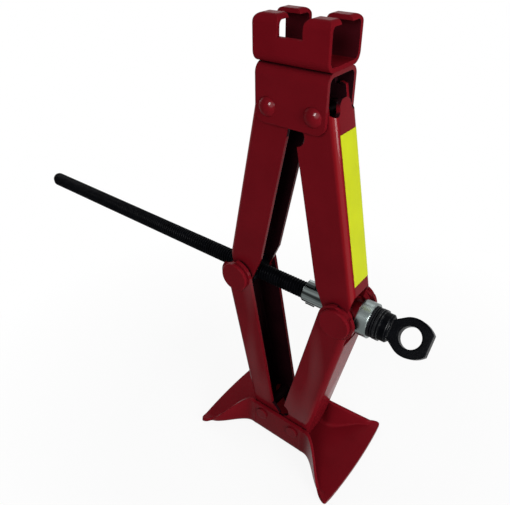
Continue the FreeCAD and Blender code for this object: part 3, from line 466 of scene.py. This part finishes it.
def black_oxide(name, sheen, wear_and_highlight):
    """Oiled black forging with a scaly grain, and glossy edges made lighter, partly by wear and
    partly as a painted highlight.
    """
    material, tree, shader = new_material(name)
    cloud = use_group(tree, MOTTLE, Scale=150.0, Fine_Scale=1300.0)
    edge = use_group(tree, EDGE, Radius=0.001, Rub_Scale=260.0)
    colour = mix_colour(tree, cloud["Cloud"], BLACK_DEEP, BLACK_SCALE)
    # Lighter edge patches: partly wear, partly a painted highlight
    colour = mix_colour(tree, product(tree, edge["Rub"], wear_and_highlight), colour, BLACK_RUB_AND_HIGHLIGHT)
    relief = bump(tree, cloud["Fine"], strength=0.12, distance=0.0004, normal=edge["Normal"])
    rough = between(tree, cloud["Fine"], 0.2, 0.34)
    feed(tree, shader, Base_Color=colour, Roughness=rough, Normal=relief, Specular_IOR_Level=sheen)
    feed(tree, shader, Coat_Weight=product(tree, edge["Edge"], wear_and_highlight), Coat_Roughness=0.12)
    return material


def bearing_steel():
    """Near-black bearing steel."""
    material, tree, shader = new_material("bearing_steel")
    cloud = use_group(tree, MOTTLE, Scale=200.0, Fine_Scale=1500.0)
    edge = use_group(tree, EDGE, Radius=0.0003, Rub_Scale=300.0)
    colour = mix_colour(tree, cloud["Cloud"], BEARING_DEEP, BEARING_PALE)
    rough = between(tree, cloud["Fine"], 0.25, 0.4)
    feed(tree, shader, Base_Color=colour, Roughness=rough, Specular_IOR_Level=0.03)
    feed(tree, shader, Normal=edge["Normal"])
    return material


def yellow_vinyl():
    """Lime-yellow vinyl with faint scuffs."""
    material, tree, shader = new_material("yellow_vinyl")
    cloud = use_group(tree, MOTTLE, Scale=70.0, Fine_Scale=1400.0)
    colour = mix_colour(tree, cloud["Cloud"], VINYL_DEEP, VINYL_PALE)
    scuff = ramp(tree, cloud["Fine"], start=0.8, end=1.0, last=0.12)
    colour = mix_colour(tree, scuff, colour, VINYL_SCUFFED)
    flat = tree.nodes.new("ShaderNodeNewGeometry").outputs["Normal"]
    relief = bump(tree, cloud["Cloud"], strength=0.1, distance=0.0003, normal=flat)
    rough = between(tree, cloud["Cloud"], 0.38, 0.5)
    feed(tree, shader, Base_Color=colour, Roughness=rough, Normal=relief, Specular_IOR_Level=0.05)
    return material


def threaded_screw():
    """Black rod with a rolled thread and a rounded tip, in place of the plain rod."""
    low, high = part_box("lead_screw")
    axis = Vector((0.0, 0.0, (low.z + high.z) / 2))
    crest = (high.z - low.z) / 2
    pitch = 0.0022
    depth = 0.0011
    taper = 0.003
    steps_in_turn = 28
    weld = 1e-6
    # Run in pitches and rise in depths of one flank, the crest, the other flank and the root
    profile = ((0.35, 1), (0.2, 0), (0.35, -1), (0.1, 0))
    # Share of the taper and narrowing of each step of the tip
    tip_steps = ((0.34, 0.97), (0.33, 0.92), (0.29, 0.82))

    bpy.ops.mesh.primitive_plane_add(size=pitch)
    piece = new_piece("screw_thread")
    only(piece)
    bpy.ops.object.mode_set(mode="EDIT")
    bpy.ops.mesh.select_all(action="SELECT")
    bpy.ops.mesh.merge(type="CENTER")
    bpy.ops.transform.translate(value=(0.0, 0.0, crest - depth))
    for run, rise in profile:
        step = (run * pitch, 0.0, rise * depth)
        bpy.ops.mesh.extrude_region_move(TRANSFORM_OT_translate={"value": step})
    bpy.ops.object.mode_set(mode="OBJECT")
    turns = math.ceil((high.x - low.x) / pitch) + 2
    apply_modifier(
        piece, "SCREW", axis="X", angle=2 * math.pi, screw_offset=pitch, iterations=turns,
        steps=steps_in_turn, render_steps=steps_in_turn,
        use_merge_vertices=True, merge_threshold=weld,
    )
    bpy.ops.object.mode_set(mode="EDIT")
    bpy.ops.mesh.select_all(action="SELECT")
    bpy.ops.mesh.remove_doubles(threshold=weld)
    bpy.ops.transform.translate(value=axis + Vector((low.x - pitch, 0.0, 0.0)))

    tip = axis + Vector((low.x + taper, 0.0, 0.0))
    for x, outward in ((low.x + taper, -1.0), (high.x, 1.0)):
        bpy.ops.mesh.select_all(action="SELECT")
        bpy.ops.mesh.bisect(
            plane_co=(x, 0.0, 0.0), plane_no=(outward, 0.0, 0.0), use_fill=True, clear_outer=True)
    bpy.ops.mesh.select_mode(type="FACE")
    # The flat face that closes the tip
    pick_faces(piece, lambda face: abs(face.normal.x) > 0.99 and abs(face.center.x - tip.x) < 1e-5)
    for share, narrow in tip_steps:
        step = (-share * taper, 0.0, 0.0)
        bpy.ops.mesh.extrude_region_move(TRANSFORM_OT_translate={"value": step})
        bpy.ops.transform.resize(value=(1.0, narrow, narrow), center_override=tip)
    bpy.ops.mesh.select_all(action="SELECT")
    bpy.ops.mesh.normals_make_consistent(inside=False)
    bpy.ops.mesh.select_mode(type="VERT")
    bpy.ops.object.mode_set(mode="OBJECT")
    bpy.ops.object.shade_smooth_by_angle(angle=math.radians(35))
    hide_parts("lead_screw")
    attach(piece, "screw")
    return piece


def blank_label():
    """Plain yellow label on the web of the right upper arm, pressed round its bends."""
    foot = PIVOTS["upper_right_fold"]
    top = Vector((PIVOTS["fold"].x, 0.0, PIVOTS["head_level"].z))
    along = (foot - top).normalized()
    outward = Vector((-along.z, 0.0, along.x))
    # Along the arm from its top pivot, across it, and out from the line between its pivots
    upper_end = 0.01135
    lower_end = 0.107
    half_width = 0.0093
    shift_across = 0.0007
    stand_off = 0.014
    glue = 0.00006
    film = 0.00012

    bpy.ops.mesh.primitive_grid_add(x_subdivisions=48, y_subdivisions=16, size=1.0)
    piece = new_piece("label")
    only(piece)
    bpy.ops.object.mode_set(mode="EDIT")
    bpy.ops.mesh.select_all(action="SELECT")
    bpy.ops.transform.resize(value=(lower_end - upper_end, 2 * half_width, 1.0))
    bpy.ops.object.mode_set(mode="OBJECT")
    middle = top + along * (upper_end + lower_end) / 2 + outward * stand_off
    middle.y += shift_across
    turn = Matrix((along, outward.cross(along), outward)).transposed()
    piece.matrix_world = Matrix.Translation(middle) @ turn.to_4x4()
    bpy.ops.object.transform_apply(location=True, rotation=True, scale=True)
    apply_modifier(
        piece, "SHRINKWRAP", target=frame["nodes"]["upper_right_arm"],
        wrap_method="NEAREST_SURFACEPOINT", wrap_mode="ABOVE_SURFACE", offset=glue,
    )
    apply_modifier(piece, "SOLIDIFY", thickness=film, offset=1.0)
    bpy.ops.object.shade_smooth_by_angle(angle=math.radians(40))
    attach(piece, "upper_right")
    return piece


def seen_rays(tree):
    """1 for what the camera sees, directly, in gloss or through glass, and 0 for light."""
    rays = tree.nodes.new("ShaderNodeLightPath").outputs
    seen = math_node(tree, "MAXIMUM", rays["Is Camera Ray"], rays["Is Glossy Ray"])
    return math_node(tree, "MAXIMUM", seen, rays["Is Transmission Ray"])


def pale_floor():
    """Wide floor that looks white, and near the jack lets a little of its shadow show."""
    bpy.ops.mesh.primitive_plane_add(size=12.0, location=(0.0, 0.0, -0.0005))
    floor = new_piece("floor")
    material, tree, shader = new_material("pale_floor")
    feed(tree, shader, Base_Color=FLOOR_GREY, Roughness=0.9, Specular_IOR_Level=0.1)
    glow = add_node(tree, "ShaderNodeEmission", Color=WHITE, Strength=1.0)
    away = add_node(tree, "ShaderNodeVectorMath", {"operation": "LENGTH"}, Vector=object_place(tree))
    level = ramp(tree, away.outputs["Value"], start=0.14, end=0.34, first=0.9, last=1.0)
    blend = tree.nodes.new("ShaderNodeMixShader")
    fill(tree, blend.inputs[0], product(tree, seen_rays(tree), level))
    fill(tree, blend.inputs[1], shader.outputs[0])
    fill(tree, blend.inputs[2], glow.outputs[0])
    fill(tree, tree.nodes["Material Output"].inputs["Surface"], blend.outputs[0])
    floor.data.materials.append(material)


def white_surroundings():
    """World that looks white and gives a faint even light."""
    world = bpy.data.worlds.new("studio")
    world.use_nodes = True
    bpy.context.scene.world = world
    tree = world.node_tree
    strength = between(tree, seen_rays(tree), 0.12, 1.0)
    feed(tree, tree.nodes["Background"], Color=WHITE, Strength=strength)


def soft_lamps():
    """Square lamps turned to the middle of the jack, by name, place, width and power."""
    target = Vector((0.0, 0.0, SCREW_HEIGHT))
    lamps = (
        ("key_lamp", (0.11, -0.53, 0.57), 0.25, 2.5),
        ("side_lamp", (0.85, -0.17, 0.40), 0.5, 10.0),
        ("top_lamp", (-0.1, 0.2, 1.2), 0.6, 3.0),
        ("back_lamp", (-0.7, 0.9, 0.8), 0.8, 6.0),
        ("left_lamp", (-0.9, 0.12, 0.45), 0.5, 3.5),
    )
    for name, place, width, power in lamps:
        bpy.ops.object.light_add(type="AREA", location=place)
        lamp = bpy.context.object
        lamp.name = name
        lamp.data.size = width
        lamp.data.energy = power
        lamp.rotation_euler = (target - Vector(place)).to_track_quat("-Z", "Y").to_euler()


def photo_camera():
    """Camera at the photograph's place and angle."""
    bpy.ops.object.camera_add(location=(0.15397, -0.24055, 0.37712))
    camera = bpy.context.object
    camera.name = "camera"
    yaw = Matrix.Rotation(math.radians(38.35), 3, "Z")
    tilt = Matrix.Rotation(math.radians(55.39), 3, "X")
    roll = Matrix.Rotation(math.radians(-0.74), 3, "Z")
    camera.rotation_euler = (yaw @ tilt @ roll).to_euler()
    camera.data.sensor_width = 36.0
    camera.data.lens = 36.33
    camera.data.clip_start = 0.01
    bpy.context.scene.camera = camera
    bpy.context.scene.view_settings.view_transform = "Standard"


def dress(names, material):
    """Give CAD nodes a finished material."""
    for name in names:
        node = frame["nodes"][name]
        node.data.materials.clear()
        node.data.materials.append(material)


pale_floor()
white_surroundings()
soft_lamps()
photo_camera()

# Every red paint has painted shade in tight gaps; a paint given a channel also has painted shade
# inside it
dress(PLAIN_RED_NODES, red_paint("red_paint", gloss=0.1))
dress(BASE_PIN_NODES, red_paint("pin_paint", shank=BASE_PIN_HALF_SHANK))
dress(RIVET_NODES, red_paint("rivet_paint", gloss=1.0, dome=True, shank=RIVET_HALF_SHANK))
# The painted shade on the saddle's inner walls stops below its tabs' curled tops and is lightened by
# a quarter
saddle_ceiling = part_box("saddle")[1].z - TAB_CURL
saddle_paint = red_paint(
    "saddle_paint", gloss=0.0, sheen=0.001, channel=0.0, ceiling=saddle_ceiling, shade_lift=0.25)
dress(("saddle",), saddle_paint)
dress(("head_bracket",), red_paint("bracket_paint", channel=0.0))
lower_arm_paint = red_paint(
    "lower_arm_paint", gloss=0.02, sheen=0.012, streaks=0.28,
    channel=LOWER_ARM_HALF_WIDTH, teeth=TEETH_HALF_SPAN,
)
dress(LOWER_ARM_NODES, lower_arm_paint)
# The upper arms have a painted highlight on their long bends
upper_arm_paint = red_paint(
    "upper_arm_paint", lit_bend=True, channel=UPPER_ARM_HALF_WIDTH, teeth=TEETH_HALF_SPAN)
dress(UPPER_ARM_NODES, upper_arm_paint)
dress(("right_trunnion",), zinc_plate("zinc_plate", pale=0.17, rough=0.32, shows_red=True))
# The sleeve and its pin carry painted reflection bands along with the grain of drawing
dress(SLEEVE_NODES, zinc_plate("drawn_and_reflected_zinc", pale=0.2, rough=0.2, drawn_and_reflected=True))
screw_black = black_oxide("screw_black", sheen=0.006, wear_and_highlight=0.1)
dress(("left_trunnion_nut",), screw_black)
# The eye's edges are lighter and glossy: partly wear, partly a painted highlight
dress(("crank_eye",), black_oxide("eye_black", sheen=0.012, wear_and_highlight=1.0))
dress(BEARING_NODES, bearing_steel())
threaded_screw().data.materials.append(screw_black)
blank_label().data.materials.append(yellow_vinyl())
